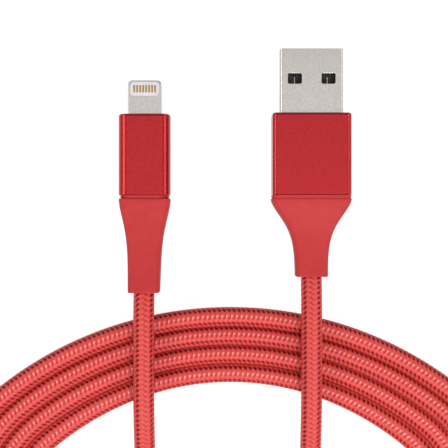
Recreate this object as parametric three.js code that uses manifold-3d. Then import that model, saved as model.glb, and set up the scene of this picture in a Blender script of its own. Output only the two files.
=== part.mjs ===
// Phone charging cable: an 8-pin phone plug and a USB-A plug on the two ends of one braided cord.
// Both plugs lie side by side on the surface z = 0 with their tips towards +Y. Each lead runs
// back over the top of a flat coil, and the rest of the cord is wound in that coil.
// Millimetres, +Z up. The origin is under the middle of the box that holds the two plugs.
import * as THREE from "three";
import { mergeVertices } from "three/addons/utils/BufferGeometryUtils.js";
import Module from "manifold-3d";

const wasm = await Module();
wasm.setup();

// ---- Driving dimensions ----
// Layout: x = 0 near the middle between the plugs and y = 0 at the front faces of both housings.
const HOUSING_LENGTH = 15.9;
const COLLAR_LENGTH = 0.6;
const HOUSING_FRONT_WALL = 1;
const FIT = 0.1; // clearance of a sliding-in piece on each side
const SMALL_FIT = 0.02; // clearance of a moulded-in or pressed-in contact

// Cord: a nylon braid over a jacket that holds four wires.
const CORD_DIAMETER = 4.1;
const CORD_GAP = 0.3;
const JACKET_DIAMETER = 2.7;
const WIRE_DIAMETER = 0.8;
const CORD_END_FRONT = -12; // where the jacket is stripped and the four wires fan out
const CORD_END_REAR = -23.8;
const CRIMP_DIAMETER = 3.3;
const CRIMP_LENGTH = 2;

// USB-A plug.
const USB = {
  x: 16.2,
  axisZ: 3.9,
  housing: { width: 15.3, height: 7.8, radius: 1, wall: 0.8, frontRound: 0.5, rearRound: 0.35 },
  collarInset: 0.2,
  boot: { length: 15.2, topHalf: 7.77, neckHalf: 3.1, taper: 0.15, flare: 5.25, power: 1.7,
    topHeight: 3.8, neckHeight: 2.85, topRadius: 1.2, neckRadius: 1.3, rise: 1.25 },
};
const SHELL = { width: 12.2, height: 4.5, wall: 0.3, radius: 0.5, front: 12.5, rear: -6 };
const SHELL_WINDOW = { width: 2.7, length: 2.05, x: 3.26, y: 6.7, radius: 0.35 };
const TONGUE = { width: 10.9, thickness: 1.9, front: 11.8, rear: -5.5, blockFront: 2.5 };
const USB_CONTACT = { width: 1, thickness: 0.2, tail: -9, proud: 0.05 };
const USB_CONTACTS = [
  { name: "ground", x: -3.5, front: 11.3, wireSide: 1, colour: 0x1d1d1f },
  { name: "data_plus", x: -1, front: 10.3, wireSide: -1, colour: 0x2f8f4a },
  { name: "data_minus", x: 1, front: 10.3, wireSide: -1, colour: 0xe8e6e0 },
  { name: "power", x: 3.5, front: 11.3, wireSide: 1, colour: 0xb3202a },
];

// 8-pin phone plug.
const PHONE = {
  x: -16.33,
  axisZ: 2.8,
  housing: { width: 10.1, height: 5.6, radius: 1.85, wall: 0.7, frontRound: 0.5, rearRound: 0.3 },
  collarInset: 0.5,
  boot: { length: 18.3, topHalf: 5.03, neckHalf: 3.04, taper: 0.4, flare: 5.9, power: 1.8,
    topHeight: 2.75, neckHeight: 2.85, topRadius: 1.3, neckRadius: 1.2, rise: 2.34 },
};
const TAB = { width: 6.6, thickness: 1.5, front: 6.66, rear: -3, tipRadius: 0.85, bevel: 0.12 };
const TAB_FLANGE = { width: 7.8, height: 2.8, front: -1.3 };
const INSULATOR = { width: 5.73, front: 6.35, rear: 3.57, radius: 0.75 };
const PIN = { count: 8, pitch: 0.585, width: 0.32, front: 5.71, rear: 4.31, recess: 0.03 };
const BOARD = { thickness: 0.6, tongueWidth: 4.9, front: 5.8, width: 7.4, wideFront: -3.4, rear: -9.6 };
const SHIELD = { width: 8.3, height: 3.8, wall: 0.2, front: -3.3, rear: -10 };
const PHONE_WIRES = [
  { name: "ground", x: -2.4, side: 1, colour: 0x1d1d1f },
  { name: "data_plus", x: 2.4, side: 1, colour: 0x2f8f4a },
  { name: "data_minus", x: -2.4, side: -1, colour: 0xe8e6e0 },
  { name: "power", x: 2.4, side: -1, colour: 0xb3202a },
];

// Boots stay straight for a few millimetres behind the collar, then curve up to the coil's top.
const BOOT_STRAIGHT = 3;
const BOOT_RINGS = 14;

// Coil: four turns side by side in a flat oval made of four arcs.
const COIL = {
  x: 0.45, topY: -39.77, endRadius: 71, sideRadius: 29.5, endAngle: THREE.MathUtils.degToRad(38),
};
const TURNS = 4;
const TOP_PITCH = 3.66; // the turns are pressed together where the oval is broadest
const PITCH_GAIN = 0.6; // and open out to 4.26 mm at the sides
const PITCH_RATE = 2.6;
const COIL_HEIGHT = CORD_DIAMETER - CORD_GAP;
const COIL_OUTLINE_POINTS = 72;
const COIL_BEVEL = 1;

// Leads: [x, y, z] of the centre line in the layout.
const FLOOR_Z = CORD_DIAMETER / 2 + 0.02;
const CROSSING_Z = CORD_DIAMETER * 1.5;
const PHONE_LEAD = [
  [PHONE.x, -35.7, 5.4],
  [PHONE.x, -37.4, 5.78],
  [PHONE.x, -39.2, 6.04],
  [PHONE.x, -41.4, CROSSING_Z],
  [PHONE.x, -47, CROSSING_Z],
  [PHONE.x, -53, 6.13],
  [PHONE.x, -57, 5.72],
  [PHONE.x, -61, 4.7],
  [PHONE.x, -65, 3.4],
  [PHONE.x, -69, 2.5],
  [PHONE.x, -73, 2.12],
  [PHONE.x, -79.2, FLOOR_Z],
  [-15, -86, FLOOR_Z],
  [-11.5, -92.1, FLOOR_Z],
  [-6.2, -96.5, FLOOR_Z],
  [-1.4, -98.5, FLOOR_Z],
  [3.8, -99.2, FLOOR_Z],
];
const USB_LEAD = [
  [USB.x, -32.4, 5.29],
  [USB.x, -34.9, 5.7],
  [USB.x, -38.2, 6.04],
  [USB.x, -41.4, CROSSING_Z],
  [USB.x, -47, CROSSING_Z],
  [USB.x, -53, 6.13],
  [USB.x, -57, 5.72],
  [USB.x, -61, 4.7],
  [USB.x, -65, 3.4],
  [USB.x, -69, 2.5],
  [USB.x, -73, 2.12],
  [USB.x, -77, 2.12],
  [USB.x, -81, 2.5],
  [USB.x, -85, 3.4],
  [USB.x, -89, 4.7],
  [16, -93, 5.72],
  [15.3, -98, CROSSING_Z],
  [12.9, -104, CROSSING_Z],
  [8.9, -109.2, CROSSING_Z],
  [3.7, -113.1, CROSSING_Z],
];
const LEAD_SIDES = 12;
const LEAD_STEPS = 36;

// ---- Materials ----
const RED_ALUMINIUM = { color: 0xb92830, roughness: 0.38, metalness: 0.9 };
const RED_RUBBER = { color: 0xcb4446, roughness: 0.75, metalness: 0 };
const RED_BRAID = { color: 0xe0564f, roughness: 0.85, metalness: 0 };
const STEEL = { color: 0xc8c3bc, roughness: 0.3, metalness: 1 };
const GOLD = { color: 0xc9a24a, roughness: 0.25, metalness: 1 };
const WHITE_PLASTIC = { color: 0xf2f0f2, roughness: 0.5, metalness: 0 };
const BLACK_PLASTIC = { color: 0x17171a, roughness: 0.55, metalness: 0 };
const CLEAR_MOULD = { color: 0xd9d4c4, roughness: 0.6, metalness: 0 };
const GREEN_BOARD = { color: 0x1f5a35, roughness: 0.5, metalness: 0 };

// ---- Helpers ----
function toSolid(geometry) {
  const bare = geometry.clone();
  bare.deleteAttribute("normal");
  bare.deleteAttribute("uv");
  const merged = mergeVertices(bare, 1e-5);
  const mesh = new wasm.Mesh({
    numProp: 3,
    vertProperties: new Float32Array(merged.attributes.position.array),
    triVerts: new Uint32Array(merged.index.array),
  });
  return new wasm.Manifold(mesh);
}

function toGeometry(solid) {
  const { vertProperties, triVerts } = solid.getMesh();
  const geometry = new THREE.BufferGeometry();
  geometry.setAttribute("position", new THREE.BufferAttribute(vertProperties, 3));
  geometry.setIndex(new THREE.BufferAttribute(triVerts, 1));
  geometry.computeVertexNormals();
  return geometry;
}

function cut(base, ...tools) {
  const solids = tools.map(toSolid);
  return toGeometry(solids.reduce((rest, tool) => rest.subtract(tool), toSolid(base)));
}

function join(base, ...others) {
  const solids = others.map(toSolid);
  return toGeometry(solids.reduce((whole, other) => whole.add(other), toSolid(base)));
}

function piece(name, geometry, look) {
  const mesh = new THREE.Mesh(geometry, new THREE.MeshStandardMaterial(look));
  mesh.name = name;
  return mesh;
}

// A block between two opposite corners.
function block([x0, y0, z0], [x1, y1, z1]) {
  const geometry = new THREE.BoxGeometry(x1 - x0, y1 - y0, z1 - z0);
  return geometry.translate((x0 + x1) / 2, (y0 + y1) / 2, (z0 + z1) / 2);
}

// A round bar along Y between two stations, centred on x = 0 and z = 0.
function bar(diameter, front, rear, sides = 20) {
  const geometry = new THREE.CylinderGeometry(diameter / 2, diameter / 2, front - rear, sides);
  return geometry.translate(0, (front + rear) / 2, 0);
}

// The corners of a rounded rectangle about (0, 0), anticlockwise.
function roundedOutline(halfWidth, halfHeight, radius, steps = 4) {
  const points = [];
  for (let corner = 0; corner < 4; corner++) {
    const signX = corner === 0 || corner === 3 ? 1 : -1;
    const signZ = corner < 2 ? 1 : -1;
    for (let step = 0; step <= steps; step++) {
      const angle = (corner + step / steps) * (Math.PI / 2);
      const x = signX * (halfWidth - radius) + radius * Math.cos(angle);
      const z = signZ * (halfHeight - radius) + radius * Math.sin(angle);
      points.push(new THREE.Vector2(x, z));
    }
  }
  return points;
}

// A closed skin through rings of points, from the front ring (largest y) to the rear one.
function loft(rings) {
  const count = rings[0].length;
  const last = (rings.length - 1) * count;
  const indices = [];
  for (let ring = 0; ring + 1 < rings.length; ring++) {
    for (let i = 0; i < count; i++) {
      const here = ring * count + i;
      const next = ring * count + ((i + 1) % count);
      indices.push(here, next, here + count);
      indices.push(next, next + count, here + count);
    }
  }
  for (let i = 1; i + 1 < count; i++) {
    indices.push(0, i + 1, i);
    indices.push(last, last + i, last + i + 1);
  }
  const geometry = new THREE.BufferGeometry().setFromPoints(rings.flat());
  geometry.setIndex(indices);
  geometry.computeVertexNormals();
  return geometry;
}

function ringAt(y, centreZ, halfWidth, halfHeight, radius) {
  const outline = roundedOutline(halfWidth, halfHeight, radius);
  return outline.map((point) => new THREE.Vector3(point.x, y, centreZ + point.y));
}

// A straight rounded bar along Y whose front edge is rounded over and whose rear edge is bevelled.
function roundedBar(size, front, rear, frontRound = 0, rearRound = 0) {
  const stations = [];
  const steps = frontRound > 0 ? 3 : 0;
  for (let step = 0; step <= steps; step++) {
    const angle = steps > 0 ? (step / steps) * (Math.PI / 2) : Math.PI / 2;
    stations.push([front - frontRound * (1 - Math.cos(angle)), frontRound * (1 - Math.sin(angle))]);
  }
  if (rearRound > 0) {
    stations.push([rear + rearRound, 0]);
  }
  stations.push([rear, rearRound]);
  return loft(stations.map(([y, inset]) => ringAt(
    y,
    0,
    size.width / 2 - inset,
    size.height / 2 - inset,
    Math.max(size.radius - inset, 0.1),
  )));
}

// A flat plate with rounded corners in plan, between two y stations and two heights.
function roundedPlate(width, front, rear, radius, bottom, top) {
  const outline = roundedOutline(width / 2, (front - rear) / 2, radius);
  const shape = new THREE.Shape(outline);
  const geometry = new THREE.ExtrudeGeometry(shape, { depth: top - bottom, bevelEnabled: false });
  return geometry.translate(0, (front + rear) / 2, bottom);
}

function tube(points, diameter, sides, steps) {
  const corners = [...Array(sides).keys()].map((i) => (i / sides) * Math.PI * 2);
  const shape = new THREE.Shape(corners.map(
    (angle) => new THREE.Vector2(Math.cos(angle), Math.sin(angle)).multiplyScalar(diameter / 2),
  ));
  const path = new THREE.CatmullRomCurve3(points.map((point) => new THREE.Vector3(...point)));
  return new THREE.ExtrudeGeometry(shape, { steps, extrudePath: path });
}

// ---- Pieces that both plugs have ----
// The pressed aluminium sleeve: a tube with a front wall that the metal plug end passes through.
function housing(size, opening) {
  const outside = roundedBar(size, 0, -HOUSING_LENGTH, size.frontRound, size.rearRound);
  const inside = {
    width: size.width - 2 * size.wall,
    height: size.height - 2 * size.wall,
    radius: Math.max(size.radius - size.wall, 0.3),
  };
  const cavity = roundedBar(inside, -HOUSING_FRONT_WALL, -HOUSING_LENGTH - 1);
  const mouth = roundedBar(opening, 1, -HOUSING_FRONT_WALL - 1);
  return cut(outside, cavity, mouth);
}

// The plastic ring that closes the sleeve and leaves a shadow line in front of the boot.
function collar(size, inset) {
  const rim = { width: size.width - 2 * inset, height: size.height - 2 * inset, radius: size.radius };
  const spigot = {
    width: size.width - 2 * size.wall - 2 * FIT,
    height: size.height - 2 * size.wall - 2 * FIT,
    radius: Math.max(size.radius - size.wall, 0.3),
  };
  const ring = roundedBar(rim, -HOUSING_LENGTH, -HOUSING_LENGTH - COLLAR_LENGTH);
  const inner = roundedBar(spigot, -HOUSING_LENGTH + 0.9, -HOUSING_LENGTH - COLLAR_LENGTH / 2);
  const hole = bar(JACKET_DIAMETER + 2 * FIT, -HOUSING_LENGTH + 2, -HOUSING_LENGTH - 2);
  return cut(join(ring, inner), hole);
}

// The strain relief: as wide as the housing at the collar, and drawn in to just over the cord.
function boot(form) {
  const rings = [];
  for (let i = 0; i < BOOT_RINGS; i++) {
    const along = (form.length * i) / (BOOT_RINGS - 1);
    const flare = Math.exp(-((along / form.flare) ** form.power));
    const taper = form.taper * (1 - along / form.length);
    const spread = form.topHalf - form.neckHalf - form.taper;
    const curved = Math.max(along - BOOT_STRAIGHT, 0) / (form.length - BOOT_STRAIGHT);
    rings.push(ringAt(
      -HOUSING_LENGTH - COLLAR_LENGTH - along,
      form.rise * curved ** 2,
      form.neckHalf + taper + spread * flare,
      form.neckHeight + (form.topHeight - form.neckHeight) * flare,
      form.neckRadius + (form.topRadius - form.neckRadius) * flare,
    ));
  }
  return cut(loft(rings), bar(JACKET_DIAMETER + 2 * FIT, -HOUSING_LENGTH, CORD_END_REAR - FIT));
}

// The moulding that locks the wires in the sleeve: a front pocket for them, a rear bore for the crimp.
function innerMould(size, front, pocketHalfWidth, pocketHalfHeight) {
  const rear = -HOUSING_LENGTH + 1.1;
  const outside = roundedBar({
    width: size.width - 2 * size.wall - 2 * FIT,
    height: size.height - 2 * size.wall - 2 * FIT,
    radius: Math.max(size.radius - size.wall, 0.3),
  }, front, rear);
  const pocketRear = CORD_END_FRONT - 0.6;
  const pocket = block(
    [-pocketHalfWidth, pocketRear, -pocketHalfHeight],
    [pocketHalfWidth, front + 1, pocketHalfHeight],
  );
  return cut(outside, pocket, bar(CRIMP_DIAMETER + 2 * FIT, pocketRear + 1, rear - 1));
}

function crimp() {
  const front = CORD_END_FRONT - 0.7;
  const outside = bar(CRIMP_DIAMETER, front, front - CRIMP_LENGTH);
  return cut(outside, bar(JACKET_DIAMETER + FIT, front + 1, front - CRIMP_LENGTH - 1));
}

// A wire from its solder joint to the stripped end of the jacket.
function wire(x, y, z, sideX, sideZ) {
  const bundle = 0.55;
  const points = [
    [x, y, z],
    [x, y - 1.4, z],
    [(x + sideX * bundle) / 2, (y - 1.4 + CORD_END_FRONT) / 2, (z + sideZ * bundle) / 2],
    [sideX * bundle, CORD_END_FRONT + CORD_GAP, sideZ * bundle],
  ];
  return tube(points, WIRE_DIAMETER, 8, 8);
}

function commonPieces(prefix, plug) {
  return [
    piece(`${prefix}_collar`, collar(plug.housing, plug.collarInset), RED_RUBBER),
    piece(`${prefix}_boot`, boot(plug.boot), RED_RUBBER),
    piece(`${prefix}_crimp`, crimp(), STEEL),
    piece(`${prefix}_cord_end`, bar(JACKET_DIAMETER, CORD_END_FRONT, CORD_END_REAR), BLACK_PLASTIC),
  ];
}

// ---- USB-A plug, about its own axis ----
function usbShell() {
  const outside = roundedBar(SHELL, SHELL.front, SHELL.rear, 0.15);
  const inside = {
    width: SHELL.width - 2 * SHELL.wall,
    height: SHELL.height - 2 * SHELL.wall,
    radius: SHELL.radius - SHELL.wall,
  };
  const bore = roundedBar(inside, SHELL.front + 1, SHELL.rear - 1);
  const windows = [-SHELL_WINDOW.x, SHELL_WINDOW.x].map((x) => roundedPlate(
    SHELL_WINDOW.width,
    SHELL_WINDOW.y + SHELL_WINDOW.length / 2,
    SHELL_WINDOW.y - SHELL_WINDOW.length / 2,
    SHELL_WINDOW.radius,
    -SHELL.height,
    SHELL.height,
  ).translate(x, 0, 0));
  return cut(outside, bore, ...windows);
}

const TONGUE_BOTTOM = -SHELL.height / 2 + SHELL.wall + FIT / 2;
const TONGUE_TOP = TONGUE_BOTTOM + TONGUE.thickness;
const CONTACT_TOP = TONGUE_TOP + USB_CONTACT.proud;

function usbTongue() {
  const half = TONGUE.width / 2;
  const ceiling = -TONGUE_BOTTOM;
  const blade = block([-half, TONGUE.rear, TONGUE_BOTTOM], [half, TONGUE.front, TONGUE_TOP]);
  const root = block([-half, TONGUE.rear, TONGUE_BOTTOM], [half, TONGUE.blockFront, ceiling]);
  const grooves = USB_CONTACTS.map((contact) => block(
    [
      contact.x - USB_CONTACT.width / 2 - SMALL_FIT,
      TONGUE.rear - 1,
      CONTACT_TOP - USB_CONTACT.thickness - SMALL_FIT,
    ],
    [contact.x + USB_CONTACT.width / 2 + SMALL_FIT, contact.front + SMALL_FIT, CONTACT_TOP + SMALL_FIT],
  ));
  return cut(join(blade, root), ...grooves);
}

function usbContact(contact) {
  const half = USB_CONTACT.width / 2;
  return block(
    [contact.x - half, USB_CONTACT.tail, CONTACT_TOP - USB_CONTACT.thickness],
    [contact.x + half, contact.front, CONTACT_TOP],
  );
}

function usbPlug() {
  const plug = new THREE.Group();
  const opening = {
    width: SHELL.width + 2 * FIT,
    height: SHELL.height + 2 * FIT,
    radius: SHELL.radius + FIT,
  };
  const wireZ = CONTACT_TOP + WIRE_DIAMETER / 2 + SMALL_FIT;
  plug.add(
    piece("usb_housing", housing(USB.housing, opening), RED_ALUMINIUM),
    piece("usb_shell", usbShell(), STEEL),
    piece("usb_tongue", usbTongue(), BLACK_PLASTIC),
    piece("usb_inner_mould", innerMould(USB.housing, SHELL.rear - 0.4, 5, 1.5), CLEAR_MOULD),
    ...USB_CONTACTS.map((contact) => piece(`usb_contact_${contact.name}`, usbContact(contact), GOLD)),
    ...USB_CONTACTS.map((contact) => piece(
      `usb_wire_${contact.name}`,
      wire(contact.x, -7.4, wireZ, Math.sign(contact.x), contact.wireSide),
      { color: contact.colour, roughness: 0.5, metalness: 0 },
    )),
    ...commonPieces("usb", USB),
  );
  plug.position.set(USB.x, 0, USB.axisZ);
  return plug;
}

// ---- 8-pin phone plug, about its own axis ----
// The metal tab is a frame round the contact insulator, with a slot for the board's tongue.
function phoneTab() {
  const depth = TAB.thickness - 2 * TAB.bevel;
  const half = TAB.width / 2 - TAB.bevel;
  const front = TAB.front - TAB.bevel;
  const radius = TAB.tipRadius - TAB.bevel;
  const outline = new THREE.Shape()
    .moveTo(-half, TAB.rear + TAB.bevel)
    .lineTo(half, TAB.rear + TAB.bevel)
    .lineTo(half, front - radius)
    .absarc(half - radius, front - radius, radius, 0, Math.PI / 2)
    .lineTo(radius - half, front)
    .absarc(radius - half, front - radius, radius, Math.PI / 2, Math.PI)
    .closePath();
  const plate = new THREE.ExtrudeGeometry(outline, {
    depth,
    curveSegments: 6,
    bevelThickness: TAB.bevel,
    bevelSize: TAB.bevel,
    bevelSegments: 1,
  }).translate(0, 0, -depth / 2);
  const flange = roundedBar({ ...TAB_FLANGE, radius: 0.3 }, TAB_FLANGE.front, TAB.rear);
  const window = roundedPlate(
    INSULATOR.width, INSULATOR.front, INSULATOR.rear, INSULATOR.radius, -2, 2,
  );
  const slotHalf = BOARD.tongueWidth / 2 + 0.05;
  const slotHeight = BOARD.thickness / 2 + 0.03;
  const slot = block([-slotHalf, TAB.rear - 1, -slotHeight], [slotHalf, INSULATOR.rear + 0.5, slotHeight]);
  return cut(join(plate, flange), window, slot);
}

const pinX = (index) => (index - (PIN.count - 1) / 2) * PIN.pitch;
const pinNumbers = [...Array(PIN.count).keys()];

function phoneInsulator() {
  const body = roundedPlate(
    INSULATOR.width - 2 * SMALL_FIT,
    INSULATOR.front - SMALL_FIT,
    INSULATOR.rear + SMALL_FIT,
    INSULATOR.radius - SMALL_FIT,
    -TAB.thickness / 2,
    TAB.thickness / 2,
  );
  const slotHalf = BOARD.tongueWidth / 2 + 0.05;
  const slotHeight = BOARD.thickness / 2 + 0.03;
  const pocket = block([-slotHalf, INSULATOR.rear - 1, -slotHeight], [slotHalf, BOARD.front + 0.1, slotHeight]);
  const openings = pinNumbers.map((index) => block(
    [pinX(index) - PIN.width / 2 - SMALL_FIT, PIN.rear - SMALL_FIT, -TAB.thickness],
    [pinX(index) + PIN.width / 2 + SMALL_FIT, PIN.front + SMALL_FIT, TAB.thickness],
  ));
  return cut(body, pocket, ...openings);
}

function phonePin(index, side) {
  const near = side * (BOARD.thickness / 2 + SMALL_FIT);
  const far = side * (TAB.thickness / 2 - PIN.recess);
  return block(
    [pinX(index) - PIN.width / 2, PIN.rear, Math.min(near, far)],
    [pinX(index) + PIN.width / 2, PIN.front, Math.max(near, far)],
  );
}

function phoneBoard() {
  const half = BOARD.thickness / 2;
  const tongueHalf = BOARD.tongueWidth / 2;
  const tongue = block([-tongueHalf, BOARD.wideFront - 1, -half], [tongueHalf, BOARD.front, half]);
  const wide = block([-BOARD.width / 2, BOARD.rear, -half], [BOARD.width / 2, BOARD.wideFront, half]);
  return join(tongue, wide);
}

function phoneShield() {
  const outside = roundedBar({ ...SHIELD, radius: 1 }, SHIELD.front, SHIELD.rear);
  const inside = roundedBar({
    width: SHIELD.width - 2 * SHIELD.wall,
    height: SHIELD.height - 2 * SHIELD.wall,
    radius: 0.8,
  }, SHIELD.front + 1, SHIELD.rear - 1);
  return cut(outside, inside);
}

function phonePlug() {
  const plug = new THREE.Group();
  const opening = { width: TAB.width + 2 * FIT, height: TAB.thickness + 2 * FIT, radius: 0.2 };
  const boardTop = BOARD.thickness / 2 + SMALL_FIT;
  const wireZ = boardTop + WIRE_DIAMETER / 2;
  const pins = [["top", 1], ["bottom", -1]].flatMap(([face, side]) => pinNumbers.map(
    (index) => piece(`phone_contact_${face}_${index + 1}`, phonePin(index, side), GOLD),
  ));
  plug.add(
    piece("phone_housing", housing(PHONE.housing, opening), RED_ALUMINIUM),
    piece("phone_tab", phoneTab(), STEEL),
    piece("phone_insulator", phoneInsulator(), WHITE_PLASTIC),
    ...pins,
    piece("phone_board", phoneBoard(), GREEN_BOARD),
    piece("phone_chip", block([-1.6, -7, boardTop], [1.6, -4.2, 1.2]), BLACK_PLASTIC),
    piece("phone_capacitor", block([2.2, -5.2, boardTop], [3.2, -4.6, 0.85]), CLEAR_MOULD),
    piece("phone_shield", phoneShield(), STEEL),
    piece("phone_inner_mould", innerMould(PHONE.housing, SHIELD.rear - 0.3, 3.1, 1.5), CLEAR_MOULD),
    ...PHONE_WIRES.map((lead) => piece(
      `phone_wire_${lead.name}`,
      wire(lead.x, -8.3, lead.side * wireZ, Math.sign(lead.x), lead.side),
      { color: lead.colour, roughness: 0.5, metalness: 0 },
    )),
    ...commonPieces("phone", PHONE),
  );
  plug.position.set(PHONE.x, 0, PHONE.axisZ);
  return plug;
}

// ---- Cord ----
// A point of the oval, or of a line inset from it, at an angle from +Y towards -X.
function ovalPoint(angle, inset) {
  const { x, topY, endRadius, sideRadius, endAngle } = COIL;
  const topCentre = topY - endRadius;
  const sideX = (endRadius - sideRadius) * Math.sin(endAngle);
  const sideY = topCentre + (endRadius - sideRadius) * Math.cos(endAngle);
  const bottomCentre = 2 * sideY - topCentre;
  const turned = Math.atan2(Math.sin(angle), Math.cos(angle));
  const normal = new THREE.Vector2(-Math.sin(angle), Math.cos(angle));
  let centre = new THREE.Vector2(x - Math.sign(turned) * sideX, sideY);
  let radius = sideRadius;
  if (Math.abs(turned) < endAngle) {
    centre = new THREE.Vector2(x, topCentre);
    radius = endRadius;
  } else if (Math.abs(turned) > Math.PI - endAngle) {
    centre = new THREE.Vector2(x, bottomCentre);
    radius = endRadius;
  }
  return centre.addScaledVector(normal, radius - inset);
}

function pitchAt(angle) {
  return TOP_PITCH + PITCH_GAIN * (1 - Math.exp(-(PITCH_RATE / PITCH_GAIN) * (1 - Math.cos(angle))));
}

function coilOutline(lane, beyond) {
  const points = [];
  for (let i = 0; i < COIL_OUTLINE_POINTS; i++) {
    const angle = (i / COIL_OUTLINE_POINTS) * Math.PI * 2;
    points.push(ovalPoint(angle, lane * pitchAt(angle) + beyond));
  }
  return points;
}

function coil() {
  const shape = new THREE.Shape(coilOutline(0, -CORD_DIAMETER / 2));
  shape.holes.push(new THREE.Path(coilOutline(TURNS - 1, CORD_DIAMETER / 2)));
  return new THREE.ExtrudeGeometry(shape, {
    depth: COIL_HEIGHT - 2 * COIL_BEVEL,
    bevelThickness: COIL_BEVEL,
    bevelSize: COIL_BEVEL,
    bevelOffset: -COIL_BEVEL,
    bevelSegments: 1,
  }).translate(0, 0, COIL_BEVEL);
}

function cord() {
  const run = new THREE.Group();
  run.add(
    piece("phone_lead", tube(PHONE_LEAD, CORD_DIAMETER, LEAD_SIDES, LEAD_STEPS), RED_BRAID),
    piece("usb_lead", tube(USB_LEAD, CORD_DIAMETER, LEAD_SIDES, LEAD_STEPS), RED_BRAID),
    piece("cord_coil", coil(), RED_BRAID),
  );
  return run;
}

// ---- Assembly ----
const left = PHONE.x - PHONE.housing.width / 2;
const right = USB.x + USB.boot.topHalf;
const front = SHELL.front;
const rear = -HOUSING_LENGTH - COLLAR_LENGTH - PHONE.boot.length;

const group = new THREE.Group();
group.add(usbPlug(), phonePlug(), cord());
group.position.set(-(left + right) / 2, -(front + rear) / 2, 0);

export default group;
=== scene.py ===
"""Looks of the phone charging cable: two aluminium plugs on the ends of one braided red cord.

Lengths are in metres. Layout coordinates have x = 0 near the middle between the plugs and y = 0
at the housings' front faces; at() turns them into the shared frame.
"""

import math

import bmesh
import bpy
import numpy as np
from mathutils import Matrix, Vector


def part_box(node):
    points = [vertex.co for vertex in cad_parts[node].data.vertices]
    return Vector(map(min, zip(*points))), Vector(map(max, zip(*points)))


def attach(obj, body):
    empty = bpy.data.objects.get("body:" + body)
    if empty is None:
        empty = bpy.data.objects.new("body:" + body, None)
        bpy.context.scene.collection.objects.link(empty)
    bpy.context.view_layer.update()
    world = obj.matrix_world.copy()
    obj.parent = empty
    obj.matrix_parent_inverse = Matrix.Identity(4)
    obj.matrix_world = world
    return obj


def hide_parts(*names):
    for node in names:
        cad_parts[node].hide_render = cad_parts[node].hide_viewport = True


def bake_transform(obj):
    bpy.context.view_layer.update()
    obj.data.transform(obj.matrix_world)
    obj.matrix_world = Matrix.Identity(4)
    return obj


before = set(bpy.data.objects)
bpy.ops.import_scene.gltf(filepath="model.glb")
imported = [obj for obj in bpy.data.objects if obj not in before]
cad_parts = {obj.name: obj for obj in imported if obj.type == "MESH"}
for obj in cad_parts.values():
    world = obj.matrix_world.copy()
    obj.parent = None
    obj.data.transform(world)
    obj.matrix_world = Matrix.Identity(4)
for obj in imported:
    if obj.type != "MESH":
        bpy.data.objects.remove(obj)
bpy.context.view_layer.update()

# ---- Dimensions, in metres ----
PLUG_X = {"phone": -0.01633, "usb": 0.0162}
ORIGIN = Vector(
    (
        (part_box("usb_housing")[0].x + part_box("usb_housing")[1].x) / 2 - PLUG_X["usb"],
        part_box("usb_housing")[1].y,
        0,
    )
)
AXIS_Z = {"phone": 0.0028, "usb": 0.0039}
HOUSING_LENGTH = 0.0159
COLLAR_LENGTH = 0.0006
BOOT_FRONT = -HOUSING_LENGTH - COLLAR_LENGTH
BOOT_STRAIGHT = 0.003
GROOVE = 0.00015  # depth of the shadow line between the collar and the boot
HOUSING = {
    "usb": {"half": (0.00765, 0.0039), "radius": 0.001, "wall": 0.0008, "inset": 0.00005},
    "phone": {"half": (0.00505, 0.0028), "radius": 0.00185, "wall": 0.0007, "inset": 0.0003},
}
BOOT = {
    "usb": {
        "length": 0.0152, "top_half": 0.00777, "neck_half": 0.0031, "taper": 0.00015,
        "flare": 0.00525, "power": 1.7, "top_height": 0.0038, "neck_height": 0.00285,
        "top_radius": 0.0012, "neck_radius": 0.0013, "rise": 0.00125,
    },
    "phone": {
        "length": 0.0183, "top_half": 0.00503, "neck_half": 0.00304, "taper": 0.0004,
        "flare": 0.0059, "power": 1.8, "top_height": 0.00275, "neck_height": 0.00285,
        "top_radius": 0.0013, "neck_radius": 0.0012, "rise": 0.00234,
    },
}

CORD_DIAMETER = 0.0041
FLOOR_Z = CORD_DIAMETER / 2 + 0.00002
CROSSING_Z = CORD_DIAMETER * 1.5
# The cord's middle line, from inside each boot to the coil.
PHONE_LEAD = [
    (-0.01633, -0.0318, 0.00431),
    (-0.01633, -0.0333, 0.00471),
    (-0.01633, -0.0357, 0.0054),
    (-0.01633, -0.0374, 0.00578),
    (-0.01633, -0.0392, 0.00604),
    (-0.01633, -0.0414, CROSSING_Z),
    (-0.01633, -0.0470, CROSSING_Z),
    (-0.01633, -0.0530, 0.00613),
    (-0.01633, -0.0570, 0.00572),
    (-0.01633, -0.0610, 0.0047),
    (-0.01633, -0.0650, 0.0034),
    (-0.01633, -0.0690, 0.0025),
    (-0.01633, -0.0730, 0.00212),
    (-0.01633, -0.0792, FLOOR_Z),
    (-0.0150, -0.0860, FLOOR_Z),
    (-0.0115, -0.0921, FLOOR_Z),
    (-0.0062, -0.0965, FLOOR_Z),
    (-0.0014, -0.0985, FLOOR_Z),
    (0.0038, -0.0992, FLOOR_Z),
]
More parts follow.
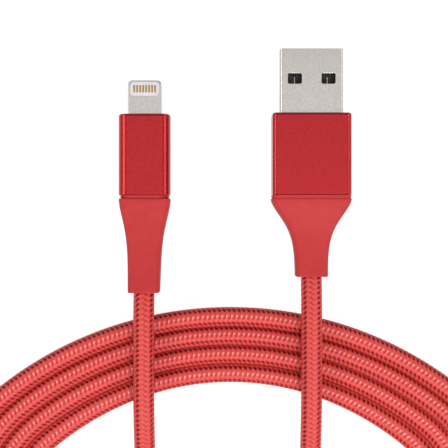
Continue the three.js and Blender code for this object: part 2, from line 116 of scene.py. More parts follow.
USB_LEAD = [
    (0.0162, -0.0290, 0.00466),
    (0.0162, -0.0307, 0.00495),
    (0.0162, -0.0324, 0.00529),
    (0.0162, -0.0349, 0.0057),
    (0.0162, -0.0382, 0.00604),
    (0.0162, -0.0414, CROSSING_Z),
    (0.0162, -0.0470, CROSSING_Z),
    (0.0162, -0.0530, 0.00613),
    (0.0162, -0.0570, 0.00572),
    (0.0162, -0.0610, 0.0047),
    (0.0162, -0.0650, 0.0034),
    (0.0162, -0.0690, 0.0025),
    (0.0162, -0.0730, 0.00212),
    (0.0162, -0.0770, 0.00212),
    (0.0162, -0.0810, 0.0025),
    (0.0162, -0.0850, 0.0034),
    (0.0162, -0.0890, 0.0047),
    (0.0160, -0.0930, 0.00572),
    (0.0153, -0.0980, CROSSING_Z),
    (0.0129, -0.1040, CROSSING_Z),
    (0.0089, -0.1092, CROSSING_Z),
    (0.0037, -0.1131, CROSSING_Z),
]
# From the outermost turn up to the end of the USB lead, over the turns below.
CLIMB = [
    (-0.0220, -0.11275, FLOOR_Z),
    (-0.0180, -0.11405, 0.0023),
    (-0.0140, -0.11530, 0.0029),
    (-0.0100, -0.11625, 0.0037),
    (-0.0060, -0.11640, 0.0046),
    (-0.0025, -0.11580, 0.0055),
    (0.0005, -0.11470, 0.00602),
]

# Coil: four turns side by side in a flat oval made of four arcs.
COIL = {
    "x": 0.00045, "top_y": -0.03977, "end_radius": 0.071, "side_radius": 0.0295,
    "end_angle": math.radians(38),
}
TURNS = 4
TOP_PITCH = 0.00366
PITCH_GAIN = 0.0006
PITCH_RATE = 0.0026
COIL_STEP = math.radians(5)
LANE_CHANGE = math.radians(75)  # after the bottom of the oval each turn moves one lane outward
COIL_FIRST = math.pi + math.radians(10)
COIL_LAST = math.pi * (1 + 2 * TURNS) - math.radians(26)
PRESSED = 0.0002  # neighbouring turns sink this far into each other's yarn
WIDEST = 0.0043  # a turn spreads this wide where there is room
CURVE_SAMPLES = 24  # between two points of the route
SOFTENING_PASSES = 60

# Braid: 16 carriers, each strand over two and under two.
STRANDS = 8  # in each direction
LAY = 0.0076  # length in which a strand goes once round
CELL = math.radians(360 / (2 * STRANDS))
CELL_STEPS = 3  # mesh steps across one cell
STRAND_HALF = 0.58  # half a strand's width, where 0.5 just fills the cell
STRAND_CROWN = 0.0001
WEAVE_DEPTH = 0.00015
WEAVE_FLATNESS = 1.6  # how flat a strand lies between its dives
BRAID_TOP = CORD_DIAMETER / 2 + 0.00002
BRAID_FLOOR = 0.00042  # depth of the holes where strands dive
# Twist of the braid at the phone end, in the middle and at the USB end.
PHASES = [math.radians(angle) for angle in (27, 48, 34)]
# Where the two directions cross, a triangular hole and a shiny facet take turns round the cord; the
# holes' depth also paints shade into the colour, and the facets get a painted highlight on the
# coil.
# Mesh rows round the cord and steps along it, with the hole's depth.
HOLES = [
    (1, -1, 0.00034), (1, 0, BRAID_FLOOR), (1, 1, 0.00034), (2, 0, BRAID_FLOOR), (2, 1, 0.0002),
]
FACETS = [(8, 2), (8, 3), (7, 3)]
FACET_DEPTH = 0.00003
FILAMENT_WAVES = 3  # ridges across half a strand
AROUND = 2 * STRANDS * CELL_STEPS  # mesh rows round the cord


def at(x, y, z=0.0):
    """Layout coordinates to the shared frame."""
    return Vector((ORIGIN.x + x, ORIGIN.y + y, z))


# ---- Nodes of materials ----
class Look:
    """A new node material with its Principled shader, and short ways to add nodes."""

    def __init__(self, name):
        self.material = bpy.data.materials.new(name)
        self.material.use_nodes = True
        self.tree = self.material.node_tree
        self.shader = next(n for n in self.tree.nodes if n.type == "BSDF_PRINCIPLED")
        self._coordinates = None

    def node(self, kind, **settings):
        made = self.tree.nodes.new("ShaderNode" + kind)
        for key, value in settings.items():
            setattr(made, key, value)
        return made

    def link(self, source, target):
        self.tree.links.new(source, target)

    def set(self, **values):
        for key, value in values.items():
            self.shader.inputs[key.replace("_", " ")].default_value = value

    @property
    def place(self):
        if self._coordinates is None:
            self._coordinates = self.node("TexCoord").outputs["Object"]
        return self._coordinates

    def noise(self, scale, detail=2.0):
        made = self.node("TexNoise")
        made.inputs["Scale"].default_value = scale
        made.inputs["Detail"].default_value = detail
        self.link(self.place, made.inputs["Vector"])
        return made.outputs["Fac"]

    def ramp(self, factor, stops):
        made = self.node("ValToRGB")
        elements = made.color_ramp.elements
        while len(elements) < len(stops):
            elements.new(0.5)
        for element, (position, colour) in zip(elements, stops):
            element.position = position
            element.color = (*colour, 1)
        self.link(factor, made.inputs["Fac"])
        return made.outputs["Color"]

    def span(self, factor, low, high):
        """From low where the factor is 0 to high where it is 1."""
        made = self.node("MapRange")
        made.inputs["To Min"].default_value = low
        made.inputs["To Max"].default_value = high
        self.link(factor, made.inputs["Value"])
        return made.outputs["Result"]

    def bump(self, height, strength, distance):
        made = self.node("Bump")
        made.inputs["Strength"].default_value = strength
        made.inputs["Distance"].default_value = distance
        self.link(height, made.inputs["Height"])
        self.link(made.outputs["Normal"], self.shader.inputs["Normal"])


def red_aluminium():
    """Satin anodised aluminium with a fine blasted grain."""
    look = Look("red_aluminium")
    look.set(Metallic=1.0, Coat_Weight=0.4, Coat_Roughness=0.24)
    tone = look.noise(4200, detail=3)
    colours = [(0.33, (0.33, 0.0085, 0.012)), (0.67, (0.47, 0.015, 0.02))]
    look.link(look.ramp(tone, colours), look.shader.inputs["Base Color"])
    grain = look.noise(9000, detail=2)
    look.link(look.span(grain, 0.28, 0.32), look.shader.inputs["Roughness"])
    look.bump(grain, 0.012, 0.00004)
    return look.material


def red_rubber():
    """Matte moulded rubber."""
    look = Look("red_rubber")
    look.set(Roughness=0.6, Specular_IOR_Level=0.15)
    tone = look.noise(500, detail=3)
    colours = [(0.3, (0.33, 0.0225, 0.0235)), (0.7, (0.366, 0.026, 0.027))]
    look.link(look.ramp(tone, colours), look.shader.inputs["Base Color"])
    look.bump(look.noise(7000), 0.15, 0.00004)
    return look.material


def red_braid():
    """Nylon yarn whose colour follows its depth: painted shade darkens the gaps, holes and dips,
    the crowns stay bright, a painted highlight lightens the facets on the coil, and filaments are
    bumped along each strand.
    """
    look = Look("red_braid")
    look.set(Specular_IOR_Level=0.27)
    depth = look.node("Attribute", attribute_name="crown").outputs["Fac"]
    # Painted shade: the yarn's colour darkens from the crowns down into the gaps and holes.
    colours = [
        (0.15, (0.1, 0.001, 0.001)),
        (0.55, (0.17, 0.002, 0.002)),
        (0.75, (0.34, 0.02, 0.017)),
        (0.95, (0.49, 0.046, 0.04)),
    ]
    yarn_with_painted_shade = look.ramp(depth, colours)
    # Painted highlight: a pale pink mixed into the colour on the facets marked by shine.
    painted_glint = look.node("Mix", data_type="RGBA")
    painted_glint.inputs["B"].default_value = (0.72, 0.25, 0.22, 1)
    shine = look.node("Attribute", attribute_name="shine").outputs["Fac"]
    look.link(shine, painted_glint.inputs["Factor"])
    look.link(yarn_with_painted_shade, painted_glint.inputs["A"])
    look.link(painted_glint.outputs["Result"], look.shader.inputs["Base Color"])
    look.link(look.span(shine, 0.5, 0.16), look.shader.inputs["Roughness"])
    filament = look.node("Attribute", attribute_name="filament").outputs["Fac"]
    wave = look.node("Math", operation="SINE")
    turned = look.node("Math", operation="MULTIPLY")
    turned.inputs[1].default_value = 2 * math.pi * FILAMENT_WAVES
    look.link(filament, turned.inputs[0])
    look.link(turned.outputs[0], wave.inputs[0])
    look.bump(wave.outputs[0], 0.2, 0.00003)
    return look.material


def steel(name="steel", colour=(0.515, 0.488, 0.453), roughness=0.2):
    """Satin plating with a fine blasted grain."""
    look = Look(name)
    look.set(Metallic=1.0)
    grain = look.noise(3800, detail=3)
    shades = [
        (0.33, tuple(c * 0.88 for c in colour)),
        (0.67, tuple(min(c * 1.12, 1) for c in colour)),
    ]
    look.link(look.ramp(grain, shades), look.shader.inputs["Base Color"])
    look.link(look.span(grain, roughness - 0.05, roughness + 0.07), look.shader.inputs["Roughness"])
    look.bump(look.noise(6500), 0.015, 0.00003)
    return look.material


# Gold darkened well below bright gold: partly the contacts' metal colour, partly painted shade of
# their recesses in the insulator.
def gold():
    return steel("gold", (0.4, 0.25, 0.08), 0.3)


# Near-black contact metal: painted shade standing in for the dark inside of the USB shell's
# windows.
def shade_darkened_bronze():
    return steel("shade_darkened_bronze", (0.045, 0.04, 0.03), 0.4)


def plastic(name, colour, roughness):
    """Moulded plastic with a faint uneven tone and grain."""
    look = Look(name)
    look.set(Roughness=roughness, Specular_IOR_Level=0.45)
    tone = look.noise(700, detail=3)
    shades = [
        (0.3, tuple(c * 0.93 for c in colour)),
        (0.7, tuple(min(c * 1.05, 1) for c in colour)),
    ]
    look.link(look.ramp(tone, shades), look.shader.inputs["Base Color"])
    look.bump(look.noise(5000), 0.1, 0.00003)
    return look.material


def paper():
    """The pale sweep that everything lies on."""
    look = Look("pale_floor")
    look.set(Roughness=0.9, Specular_IOR_Level=0.2)
    shades = [(0.3, (0.075, 0.075, 0.075)), (0.7, (0.085, 0.085, 0.085))]
    look.link(look.ramp(look.noise(30), shades), look.shader.inputs["Base Color"])
    look.shader.inputs["Emission Color"].default_value = (1, 1, 1, 1)
    look.shader.inputs["Emission Strength"].default_value = 0.94
    return look.material


MATERIALS = {
    "red_aluminium": red_aluminium(),
    "red_rubber": red_rubber(),
    "red_braid": red_braid(),
    "steel": steel(),
    "gold": gold(),
    "shade_darkened_bronze": shade_darkened_bronze(),
    "white_plastic": plastic("white_plastic", (0.45, 0.43, 0.445), 0.45),
    "black_plastic": plastic("black_plastic", (0.012, 0.012, 0.014), 0.5),
    "cream_mould": plastic("cream_mould", (0.66, 0.61, 0.5), 0.55),
    "green_board": plastic("green_board", (0.015, 0.11, 0.04), 0.4),
    "cord_jacket": plastic("cord_jacket", (0.02, 0.02, 0.022), 0.6),
    "black_insulation": plastic("black_insulation", (0.014, 0.014, 0.016), 0.45),
    "green_insulation": plastic("green_insulation", (0.03, 0.28, 0.07), 0.45),
    "white_insulation": plastic("white_insulation", (0.8, 0.79, 0.74), 0.45),
    "red_insulation": plastic("red_insulation", (0.45, 0.02, 0.03), 0.45),
}


# ---- Meshes ----
EDGE_STEPS = 4  # along a small rounded edge


def new_mesh(name, points, faces, material):
    mesh = bpy.data.meshes.new(name)
    points = np.asarray(points, dtype=np.float32).reshape(-1, 3)
    mesh.from_pydata([tuple(map(float, p)) for p in points], [], faces)
    mesh.materials.append(MATERIALS[material])
    mesh.validate()
    obj = bpy.data.objects.new(name, mesh)
    bpy.context.collection.objects.link(obj)
    mesh.polygons.foreach_set("use_smooth", [True] * len(mesh.polygons))
    return obj


def rounded_outline(half_width, half_height, radius, steps=8):
    """The corners of a rounded rectangle about (0, 0), anticlockwise."""
    points = []
    for corner in range(4):
        sign_x = 1 if corner in (0, 3) else -1
        sign_z = 1 if corner < 2 else -1
        for step in range(steps + 1):
            angle = (corner + step / steps) * math.pi / 2
            points.append(
                (
                    sign_x * (half_width - radius) + radius * math.cos(angle),
                    sign_z * (half_height - radius) + radius * math.sin(angle),
                )
            )
    return points


def ring(plug, y, half_width, half_height, radius, rise=0.0, steps=8):
    """A rounded rectangle across a plug's axis, in the shared frame."""
    z = AXIS_Z[plug] + rise
    outline = rounded_outline(half_width, half_height, radius, steps)
    return [at(PLUG_X[plug] + x, y, z + up) for x, up in outline]


def loft(name, rings, material, closed):
    """A skin through rings of equal counts, its two ends joined if closed and capped if not."""
    count = len(rings[0])
    faces = []
    pairs = [(i, i + 1) for i in range(len(rings) - 1)]
    if closed:
        pairs.append((len(rings) - 1, 0))
    for a, b in pairs:
        for i in range(count):
            j = (i + 1) % count
            faces.append((a * count + i, a * count + j, b * count + j, b * count + i))
    if not closed:
        faces.append(tuple(range(count))[::-1])
        faces.append(tuple((len(rings) - 1) * count + i for i in range(count)))
    return new_mesh(name, [p for r in rings for p in r], faces, material)


def outward(obj, sharp_degrees=35):
    """Turns the faces outward and keeps edges sharper than the angle crisp."""
    build = bmesh.new()
    build.from_mesh(obj.data)
    bmesh.ops.recalc_face_normals(build, faces=build.faces)
    sharp = math.radians(sharp_degrees)
    for edge in build.edges:
        edge.smooth = len(edge.link_faces) != 2 or edge.calc_face_angle() < sharp
    build.to_mesh(obj.data)
    build.free()
    return obj


def flat_shaded(obj):
    """Keeps flat faces flat in the light beside their rounded edges."""
    return with_modifiers(obj, ("WEIGHTED_NORMAL", {"keep_sharp": True, "weight": 100}))


def with_modifiers(obj, *modifiers):
    """Applies modifiers, each a (type, settings) pair, to the object's mesh."""
    for kind, settings in modifiers:
        made = obj.modifiers.new(kind.lower(), kind)
        for key, value in settings.items():
            setattr(made, key, value)
    bpy.context.view_layer.update()
    evaluated = obj.evaluated_get(bpy.context.evaluated_depsgraph_get())
    final = bpy.data.meshes.new_from_object(evaluated)
    obj.modifiers.clear()
    obj.data = final
    return obj


def cut(obj, *tools):
    """Cuts the tools out of obj and deletes them."""
    for tool in tools:
        with_modifiers(
            obj, ("BOOLEAN", {"operation": "DIFFERENCE", "object": tool, "solver": "EXACT"})
        )
        bpy.data.objects.remove(tool)
    return obj


def rounded_edge(front, way, radius):
    """(y, inset) pairs of a quarter round from a face to the sides; way is +1 or -1 along Y."""
    pairs = []
    for step in range(EDGE_STEPS + 1):
        angle = step / EDGE_STEPS * math.pi / 2
        back = radius * (1 - math.cos(angle))
        pairs.append((front - way * back, radius * (1 - math.sin(angle))))
    return pairs


# ---- The cord ----
def pitch_at(angle):
    """Distance between neighbouring turns, which open out away from the top of the oval."""
    painted_glint = 1 - math.exp(-PITCH_RATE / PITCH_GAIN * (1 - math.cos(angle)))
    return TOP_PITCH + PITCH_GAIN * painted_glint


def oval_point(angle, inset):
    """A point of the coil's outer turn, or of a line inset from it, at an angle from +Y to -X."""
    top_centre = COIL["top_y"] - COIL["end_radius"]
    side_x = (COIL["end_radius"] - COIL["side_radius"]) * math.sin(COIL["end_angle"])
    side_y = top_centre + (COIL["end_radius"] - COIL["side_radius"]) * math.cos(COIL["end_angle"])
    turned = math.atan2(math.sin(angle), math.cos(angle))
    centre = (COIL["x"] - math.copysign(side_x, turned), side_y)
    radius = COIL["side_radius"]
    if abs(turned) < COIL["end_angle"]:
        centre = (COIL["x"], top_centre)
        radius = COIL["end_radius"]
    elif abs(turned) > math.pi - COIL["end_angle"]:
        centre = (COIL["x"], 2 * side_y - top_centre)
        radius = COIL["end_radius"]
    reach = radius - inset
    return (centre[0] - math.sin(angle) * reach, centre[1] + math.cos(angle) * reach)


def ease(value):
    value = min(max(value, 0.0), 1.0)
    return value * value * (3 - 2 * value)


def coil_points():
    """Points round the turns and the cord's width there, from the innermost lane outward."""
    points = []
    steps = round((COIL_LAST - COIL_FIRST) / COIL_STEP)
    for i in range(steps + 1):
        angle = COIL_FIRST + (COIL_LAST - COIL_FIRST) * i / steps
        turn, rest = divmod(angle - math.pi, 2 * math.pi)
        lane = TURNS - turn - ease(rest / LANE_CHANGE)
        x, y = oval_point(angle, lane * pitch_at(angle))
        points.append((x, y, FLOOR_Z, min(pitch_at(angle) + PRESSED, WIDEST)))
    return points


def smooth_line(points, step):
    """A centripetal Catmull-Rom curve through (x, y, z, width, wound), cut into equal steps."""
    knots = np.array(points, float)
    ends = np.vstack([2 * knots[0] - knots[1], knots, 2 * knots[-1] - knots[-2]])
    fine = []
    for i in range(1, len(ends) - 2):
        p = ends[i - 1 : i + 3]
        gaps = np.linalg.norm(np.diff(p[:, :3], axis=0), axis=1) ** 0.5
        t = np.concatenate([[0], np.cumsum(gaps)])
        u = np.linspace(t[1], t[2], CURVE_SAMPLES, endpoint=False)[:, None]

        def between(low, high, start, end):
            return ((end - u) * low + (u - start) * high) / (end - start)

        a = [between(p[k], p[k + 1], t[k], t[k + 1]) for k in range(3)]
        b = [between(a[k], a[k + 1], t[k], t[k + 2]) for k in range(2)]
        fine.append(between(b[0], b[1], t[1], t[2]))
    fine = np.vstack([*fine, knots[-1:]])
    lengths = np.linalg.norm(np.diff(fine[:, :3], axis=0), axis=1)
    along = np.concatenate([[0], np.cumsum(lengths)])
    count = round(along[-1] / step)
    places = np.linspace(0, along[-1], count + 1)
    return np.stack([np.interp(places, along, fine[:, k]) for k in range(fine.shape[1])], axis=1)


def softened(line, passes):
    """The line with its small kinks averaged out, ends kept."""
    line = line.copy()
    for _ in range(passes):
        line[1:-1] = (line[:-2] + 2 * line[1:-1] + line[2:]) / 4
    return line


def route():
    """The cord's middle line, with its width and how far it is part of the coil at each point."""

    def free(points):
        return [(*p, CORD_DIAMETER, 0.0) for p in points]

    turns = [(*point, 1.0) for point in coil_points()]
    points = [*free(PHONE_LEAD), *turns, *free(CLIMB), *free(reversed(USB_LEAD))]
    line = smooth_line(points, LAY / AROUND)
    line = softened(line, SOFTENING_PASSES)
    return line[:, :3], line[:, 3], line[:, 4]


def weave(travel):
    """How far a strand's middle stands up, from 1 over to -1 under, after some quarter turns."""
    wave = np.cos(travel * math.pi / 2)
    return np.tanh(WEAVE_FLATNESS * wave) / math.tanh(WEAVE_FLATNESS)


def braid_relief(a, b):
    """The braid at lattice steps a round and b along: depth under its top, place across the strand
    on top, and where the yarn lies flat and shiny on the facets, which also carry a painted
    highlight."""
    p = (a + b) / (2 * CELL_STEPS)
    q = (a - b) / (2 * CELL_STEPS)

    def family(across, along, shift):
        strand = np.floor(across)
        middle = (across - strand - 0.5) / STRAND_HALF
        crown = np.sqrt(np.clip(1 - middle**2, 0, 1))
        return WEAVE_DEPTH * weave(along + strand - shift) + STRAND_CROWN * (crown - 1), middle

    top_p, middle_p = family(p, q, 1)
    top_q, middle_q = family(q, p, 3)
    relief = np.maximum(top_p, top_q) - WEAVE_DEPTH
    filament = np.where(top_p >= top_q, middle_p, middle_q)

    def spots(row, step):
        """True at the mesh points of one row round the cord and one step of each pitch along it."""
        pitch = 2 * CELL_STEPS
        return (a % (4 * CELL_STEPS) == row) & ((b - step) % pitch == 0)

    for row, step, depth in HOLES:
        relief = np.where(spots(row, step), np.minimum(relief, -depth), relief)
    shine = np.zeros_like(relief)
    for row, step in FACETS:
        there = spots(row, step)
        relief = np.where(there, -FACET_DEPTH, relief)
        shine = np.where(there, 1.0, shine)
    return relief, filament, shine


def cord_skin(line, width, relief):
    """Rows of points round the line, each pushed in or out by the relief."""
    tangent = np.gradient(line, axis=0)
    tangent /= np.linalg.norm(tangent, axis=1)[:, None]
    side = np.cross(tangent, (0, 0, 1))
    side /= np.linalg.norm(side, axis=1)[:, None]
    up = np.cross(side, tangent)
    phase = np.interp(np.linspace(0, 1, len(line)), (0, 0.5, 1), PHASES)[:, None]
    angle = phase + np.arange(AROUND)[None, :] * CELL / CELL_STEPS
    reach = BRAID_TOP + relief
    squash = (width / CORD_DIAMETER)[:, None]
    return (
        line[:, None, :]
        + (reach * np.sin(angle) * squash)[..., None] * side[:, None, :]
        + (reach * np.cos(angle))[..., None] * up[:, None, :]
        + np.array(at(0, 0))
    )


def cord_mesh(points, line):
    """The closed skin: quads between the rows, and a fan of triangles on each end."""
    rings = len(line)
    i = np.arange(rings - 1)[:, None] * AROUND
    j = np.arange(AROUND)
    k = (j + 1) % AROUND
    quads = np.stack([i + j, i + k, i + AROUND + k, i + AROUND + j], axis=-1).reshape(-1, 4)
    ends = line[[0, -1]] + np.array(at(0, 0))
    first_end = rings * AROUND
    last_row = first_end - AROUND
    first = np.stack([np.full(AROUND, first_end), k, j], axis=-1)
    last = np.stack([np.full(AROUND, first_end + 1), last_row + j, last_row + k], axis=-1)
    loops = np.concatenate([quads.ravel(), first.ravel(), last.ravel()]).astype(np.int32)
    sizes = np.concatenate([np.full(len(quads), 4), np.full(2 * AROUND, 3)])
    starts = np.concatenate([[0], np.cumsum(sizes)[:-1]]).astype(np.int32)
    mesh = bpy.data.meshes.new("braided_cord")
    mesh.vertices.add(first_end + 2)
    mesh.vertices.foreach_set("co", np.vstack([points.reshape(-1, 3), ends]).ravel())
    mesh.loops.add(len(loops))
    mesh.loops.foreach_set("vertex_index", loops)
    mesh.polygons.add(len(sizes))
    mesh.polygons.foreach_set("loop_start", starts)
    mesh.polygons.foreach_set("use_smooth", np.ones(len(sizes), bool))
    mesh.update(calc_edges=True)
    outside = np.cross(points[0, 1] - points[0, 0], points[1, 0] - points[0, 0])
    if np.dot(outside, points[0, 0] - points[0].mean(0)) < 0:
        mesh.flip_normals()
    return mesh


def braided_cord():
    """The whole cord as one skin with its braid, from inside one boot to inside the other."""
    line, width, wound = route()
    along, around = np.mgrid[0 : len(line), 0:AROUND].astype(float)
    relief, filament, shine = braid_relief(around, along)
    # Keeps the facets' gloss and painted highlight to the coil's turns.
    shine *= wound[:, None]
    mesh = cord_mesh(cord_skin(line, width, relief), line)
    # 1 on top down to 0 at the hole floor; the braid's colour ramp paints shade by it.
    crown = 1 + relief / BRAID_FLOOR
    for name, values in (("crown", crown), ("filament", filament), ("shine", shine)):
        attribute = mesh.attributes.new(name, "FLOAT", "POINT")
        attribute.data.foreach_set("value", np.append(values.ravel(), [0, 0]).astype(np.float32))
    mesh.materials.append(MATERIALS["red_braid"])
    obj = bpy.data.objects.new("braided_cord", mesh)
    bpy.context.collection.objects.link(obj)
    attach(obj, "cord")
    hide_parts("phone_lead", "usb_lead", "cord_coil")
    path = line[:: 2 * CELL_STEPS]
    path = np.vstack([path, line[-1:]]) + np.array(at(0, 0))


# ---- Pieces of both plugs ----
BOOT_EDGE = 0.00022  # rounding of the boot's rear edge
BOOT_RINGS = 44
BOOT_FRONT_EDGE = [(0, GROOVE), (0.00016, 0.00004), (0.0003, 0)]  # distance back and inset
BOOT_BORE = [(0.0, 0.00012), (0.0002, 0), (0.0028, 0)]  # distance in and extra radius
BORE_GAP = 0.00006
SMALLEST_RADIUS = 0.0002
HOLD = 0.00012  # a ring this far from a rounded edge keeps the flat beside it flat
ROUND_STEPS = 12  # along each rounded corner of a sleeve or collar
FRONT_ROUND = 0.00045
REAR_ROUND = 0.00012
FRONT_WALL = 0.001
COLLAR_CORE = {"inset": 0.0012, "radius": 0.0005, "front": -HOUSING_LENGTH + 0.0008}
COLLAR_SHOULDER = 0.0002
TOUCH = 0.00002  # gap between faces that only meet


def boot_ring(plug, along, inset=0.0):
    """The boot's outline at a distance back from the collar."""
    form = BOOT[plug]
    flare = math.exp(-((max(along, 0) / form["flare"]) ** form["power"]))
    taper = form["taper"] * (1 - along / form["length"])
    spread = form["top_half"] - form["neck_half"] - form["taper"]
    curved = max(along - BOOT_STRAIGHT, 0) / (form["length"] - BOOT_STRAIGHT)
    radius = form["neck_radius"] + (form["top_radius"] - form["neck_radius"]) * flare
    return ring(
        plug,
        BOOT_FRONT - along,
        form["neck_half"] + taper + spread * flare - inset,
        form["neck_height"] + (form["top_height"] - form["neck_height"]) * flare - inset,
        max(radius - inset, SMALLEST_RADIUS),
        form["rise"] * curved**2,
    )


def boot(plug):
    """The strain relief: a loft from the collar to the neck, with a bore that the cord fills."""
    length = BOOT[plug]["length"]
    rise = BOOT[plug]["rise"]
    rings = [boot_ring(plug, along, inset) for along, inset in BOOT_FRONT_EDGE]
    first = 2 * BOOT_EDGE
    for i in range(1, BOOT_RINGS):
        rings.append(boot_ring(plug, first + (length - 3 * BOOT_EDGE) * i / BOOT_RINGS))
    for back, inset in reversed(rounded_edge(0, -1, BOOT_EDGE)):
        rings.append(boot_ring(plug, length - back, inset))
    slope = 2 * rise / (length - BOOT_STRAIGHT)
    for back, widening in BOOT_BORE:
        radius = CORD_DIAMETER / 2 + BORE_GAP + widening
        y = BOOT_FRONT - length + back
        rings.append(ring(plug, y, radius, radius, radius * 0.999, rise - slope * back))
    obj = outward(loft(f"{plug}_strain_relief", rings, "red_rubber", closed=False), 50)
    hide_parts(f"{plug}_boot")
    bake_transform(obj)


def sleeve(plug, opening):
    """The aluminium housing: a rounded tube with a front wall that the plug end comes through."""
    shape = HOUSING[plug]
    wide, high = shape["half"]

    def outer(y, inset):
        radius = max(shape["radius"] - inset, 0.00015)
        return ring(plug, y, wide - inset, high - inset, radius, steps=ROUND_STEPS)

    rings = [ring(plug, 0, *opening, steps=ROUND_STEPS)]
    rings += [outer(y, inset) for y, inset in rounded_edge(0, 1, FRONT_ROUND)]
    rings += [outer(-FRONT_ROUND - HOLD, 0)]
    rings += [outer(-HOUSING_LENGTH * k / 6, 0) for k in range(1, 6)]
    rings += [outer(-HOUSING_LENGTH + REAR_ROUND + HOLD, 0)]
    rings += [outer(-HOUSING_LENGTH + REAR_ROUND, 0), outer(-HOUSING_LENGTH, REAR_ROUND)]
    rings += [outer(-HOUSING_LENGTH, shape["wall"]), outer(-FRONT_WALL, shape["wall"])]
    rings += [ring(plug, -FRONT_WALL, *opening, steps=ROUND_STEPS)]
    obj = flat_shaded(outward(loft(f"{plug}_sleeve", rings, "red_aluminium", closed=True), 32))
    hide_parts(f"{plug}_housing")
    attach(obj, f"{plug}_plug")


def collar(plug):
    """The rubber ring between the housing and the boot, with a groove at the boot."""
    shape = HOUSING[plug]
    wide, high = (half - shape["inset"] for half in shape["half"])
    inset = COLLAR_CORE["inset"]
    seat = -HOUSING_LENGTH - TOUCH
    outlines = [
        (COLLAR_CORE["front"], inset, COLLAR_CORE["radius"]),
        (seat, inset, COLLAR_CORE["radius"]),
        (seat, 0, shape["radius"]),
        (BOOT_FRONT + COLLAR_SHOULDER, 0, shape["radius"]),
        (BOOT_FRONT + TOUCH, GROOVE, shape["radius"]),
    ]
    rings = [
        ring(plug, y, wide - narrowing, high - narrowing, radius, steps=ROUND_STEPS)
        for y, narrowing, radius in outlines
    ]
    obj = outward(loft(f"{plug}_gap_ring", rings, "red_rubber", closed=False))
    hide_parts(f"{plug}_collar")
    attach(obj, f"{plug}_plug")


# ---- USB-A plug ----
SHELL_HALF = (0.0061, 0.00225)
SHELL_WALL = 0.0003
SHELL_RADIUS = 0.0005
SHELL_FRONT = 0.0125
SHELL_REAR = -0.006
SHELL_LIP = 0.00009  # rounding of the shell's front edge
WINDOW = {"half": (0.00135, 0.001025), "x": 0.00326, "y": 0.0067, "radius": 0.00035}
WINDOW_CUT = 0.004  # the cutting bar reaches this far above and below the axis
RIB = {
    "x": 0.0032, "front": 0.011, "rear": 0.0027, "half": 0.00013, "height": 0.00018,
    "tip": 0.0003, "tip_height": 0.00008, "narrowing": 0.6,
}


def window_cutter(side):
    """An upright bar with rounded corners that cuts one window in each broad side."""
    x, y = side * WINDOW["x"], WINDOW["y"]
    outline = rounded_outline(*WINDOW["half"], WINDOW["radius"], 5)
    rings = [
        [at(PLUG_X["usb"] + x + dx, y + dy, AXIS_Z["usb"] + z) for dx, dy in outline]
        for z in (-WINDOW_CUT, WINDOW_CUT)
    ]
    return outward(loft(f"cutter{side}", rings, "steel", closed=False))


def contact_rib(side, name):
    """The narrow rib pressed along an outer contact, seen through the shell's window."""
    half = RIB["half"]
    crest = half * RIB["narrowing"]

    def section(y, height):
        outline = ((-half, 0), (half, 0), (crest, height), (-crest, height))
        x = PLUG_X["usb"] + side * RIB["x"]
        return [at(x + dx, y, AXIS_Z["usb"] + z) for dx, z in outline]

    rings = [
        section(RIB["front"], RIB["tip_height"]),
        section(RIB["front"] - RIB["tip"], RIB["height"]),
        section(RIB["rear"], RIB["height"]),
    ]
    obj = outward(loft(f"usb_contact_rib_{name}", rings, "steel", closed=False))
    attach(obj, "usb_plug")


def usb_shell():
    """The folded steel shell with four windows, its edges slightly rounded."""

    def skin(y, inset):
        half_width, half_height = (half - inset for half in SHELL_HALF)
        radius = max(SHELL_RADIUS - inset, SMALLEST_RADIUS)
        return ring("usb", y, half_width, half_height, radius, steps=10)

    rings = [skin(y, inset) for y, inset in rounded_edge(SHELL_FRONT, 1, SHELL_LIP)]
    rings += [skin(SHELL_REAR, 0), skin(SHELL_REAR, SHELL_WALL)]
    rings += [skin(SHELL_FRONT - SHELL_LIP, SHELL_WALL), skin(SHELL_FRONT, SHELL_WALL - SHELL_LIP)]
    obj = outward(loft("usb_plug_shell", rings, "steel", closed=True))
    cut(obj, window_cutter(-1), window_cutter(1))
    with_modifiers(
        obj,
        ("BEVEL", {"width": 0.00005, "segments": 2, "limit_method": "ANGLE", "angle_limit": 0.9}),
    )
    flat_shaded(outward(obj))
    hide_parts("usb_shell")
    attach(obj, "usb_plug")


# ---- 8-pin phone plug ----
TAB = {
    "half": 0.0033, "front": 0.00666, "rear": -0.003, "tip": 0.00085, "thickness": 0.0015,
    "bevel": 0.00016,
}
TIP_STEPS = 8
TAB_BEVEL_STEPS = 3
TAB_CUT = 0.002  # the cutting bar reaches this far above and below the axis
INSULATOR = {"half": 0.002865, "front": 0.00635, "rear": 0.00357, "radius": 0.00075}


def tab_outline(inset):
    """The tab's outline in plan, anticlockwise, with a rounded tip."""
    half = TAB["half"] - inset
    front = TAB["front"] - inset
    radius = TAB["tip"] - inset
    points = [(-half, TAB["rear"]), (half, TAB["rear"])]
    for start, x in ((0, half - radius), (math.pi / 2, radius - half)):
        for step in range(TIP_STEPS + 1):
            angle = start + step / TIP_STEPS * math.pi / 2
            points.append((x + radius * math.cos(angle), front - radius + radius * math.sin(angle)))
    return points


def insulator_cutter():
    """An upright bar in the shape of the insulator."""
    length = INSULATOR["front"] - INSULATOR["rear"]
    middle = (INSULATOR["front"] + INSULATOR["rear"]) / 2
    outline = rounded_outline(INSULATOR["half"], length / 2, INSULATOR["radius"])
    rings = [
        [at(PLUG_X["phone"] + x, middle + y, AXIS_Z["phone"] + z) for x, y in outline]
        for z in (-TAB_CUT, TAB_CUT)
    ]
    return outward(loft("cutter", rings, "steel", closed=False))


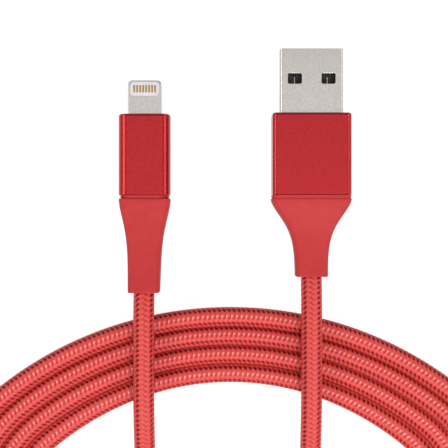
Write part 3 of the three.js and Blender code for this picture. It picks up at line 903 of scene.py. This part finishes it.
def phone_tab():
    """The metal frame round the contacts: a plate with soft edges and a window through it."""
    half = TAB["thickness"] / 2
    bevel = TAB["bevel"]
    levels = []
    for step in range(TAB_BEVEL_STEPS + 1):
        angle = step / TAB_BEVEL_STEPS * math.pi / 2
        levels.append((half - bevel * (1 - math.cos(angle)), bevel * (1 - math.sin(angle))))
    levels += [(-z, inset) for z, inset in reversed(levels)]
    rings = [
        [at(PLUG_X["phone"] + x, y, AXIS_Z["phone"] + z) for x, y in tab_outline(inset)]
        for z, inset in levels
    ]
    obj = outward(loft("phone_plug_tab", rings, "steel", closed=False))
    cut(obj, insulator_cutter())
    flat_shaded(outward(obj))
    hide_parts("phone_tab")
    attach(obj, "phone_plug")


# ---- CAD nodes that stay ----
KEPT = {
    "usb_tongue": "black_plastic",
    "usb_inner_mould": "cream_mould",
    "usb_crimp": "steel",
    "usb_cord_end": "cord_jacket",
    "usb_wire_ground": "black_insulation",
    "usb_wire_data_plus": "green_insulation",
    "usb_wire_data_minus": "white_insulation",
    "usb_wire_power": "red_insulation",
    "phone_insulator": "white_plastic",
    "phone_board": "green_board",
    "phone_chip": "black_plastic",
    "phone_capacitor": "cream_mould",
    "phone_shield": "steel",
    "phone_inner_mould": "cream_mould",
    "phone_crimp": "steel",
    "phone_cord_end": "cord_jacket",
    "phone_wire_ground": "black_insulation",
    "phone_wire_data_plus": "green_insulation",
    "phone_wire_data_minus": "white_insulation",
    "phone_wire_power": "red_insulation",
}


def dress_kept_nodes():
    """Puts a node material on every CAD node that still shows."""
    looks = dict(KEPT)
    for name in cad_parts:
        # USB contacts get the near-black metal, painted shade for the dark windows.
        if name.startswith("usb_contact_"):
            looks[name] = "shade_darkened_bronze"
        # Phone contacts get the darkened gold, partly painted shade of their recesses.
        if name.startswith("phone_contact_"):
            looks[name] = "gold"
    for name, material in looks.items():
        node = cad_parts[name]
        node.data.materials.clear()
        node.data.materials.append(MATERIALS[material])


# ---- Floor, light and camera ----
FLOOR_HALF = 1.5
FLOOR_DROP = 0.00005  # the floor lies this far below the cable


def floor():
    """A square sheet under the cable."""
    corners = [(x * FLOOR_HALF, y * FLOOR_HALF, 0) for x, y in ((-1, -1), (1, -1), (1, 1), (-1, 1))]
    mesh = bpy.data.meshes.new("floor")
    mesh.from_pydata(corners, [], [(0, 1, 2, 3)])
    mesh.materials.append(paper())
    obj = bpy.data.objects.new("floor", mesh)
    bpy.context.collection.objects.link(obj)
    obj.location.z = -FLOOR_DROP


def softbox(name, azimuth, elevation, distance, size, radiance):
    """A rectangular light that faces the plugs; its power follows from its area and radiance."""
    middle = at(0, -0.03)
    round_z, up = math.radians(azimuth), math.radians(elevation)
    way = Vector(
        (math.cos(up) * math.cos(round_z), math.cos(up) * math.sin(round_z), math.sin(up))
    )
    data = bpy.data.lights.new(name, "AREA")
    data.shape = "RECTANGLE"
    data.size, data.size_y = size
    data.energy = radiance * math.pi * size[0] * size[1]
    obj = bpy.data.objects.new(name, data)
    bpy.context.collection.objects.link(obj)
    obj.location = middle + way * distance
    obj.rotation_mode = "QUATERNION"
    obj.rotation_quaternion = (-way).to_track_quat("-Z", "Y")


def lights():
    """One large box overhead, a strong one in front and a long one on each side."""
    softbox("overhead", -90, 81, 0.8, (0.7, 0.7), 0.68)
    softbox("front", -72, 55, 0.8, (0.45, 0.35), 12.5)
    softbox("left", 180, 38, 0.7, (0.9, 0.19), 4.6)
    softbox("right", 0, 36, 0.7, (0.9, 0.14), 4.0)
    world = bpy.data.worlds.new("studio")
    world.use_nodes = True
    background = world.node_tree.nodes["Background"]
    background.inputs["Color"].default_value = (1, 1, 1, 1)
    background.inputs["Strength"].default_value = 0.5
    bpy.context.scene.world = world


CAMERA_HEIGHT = 0.22
VIEW_WIDTH = 0.087
VIEW_LEVEL = 0.0055  # height at which the view is that wide
VIEW_CENTRE = (-0.00078, -0.0215)


def camera():
    """Straight down on the plugs."""
    data = bpy.data.cameras.new("camera")
    data.sensor_width = 36
    data.lens = data.sensor_width * (CAMERA_HEIGHT - VIEW_LEVEL) / VIEW_WIDTH
    data.clip_start = 0.01
    data.clip_end = 10
    obj = bpy.data.objects.new("camera", data)
    bpy.context.collection.objects.link(obj)
    obj.location = at(*VIEW_CENTRE, CAMERA_HEIGHT)
    bpy.context.scene.camera = obj


camera()
braided_cord()
for plug_name in ("usb", "phone"):
    boot(plug_name)
    collar(plug_name)
sleeve("usb", (0.0062, 0.00235, 0.0006))
sleeve("phone", (0.0034, 0.00085, 0.0002))
usb_shell()
contact_rib(-1, "ground")
contact_rib(1, "power")
phone_tab()
dress_kept_nodes()
floor()
lights()
bpy.context.scene.view_settings.view_transform = "Standard"

bpy.context.view_layer.update()
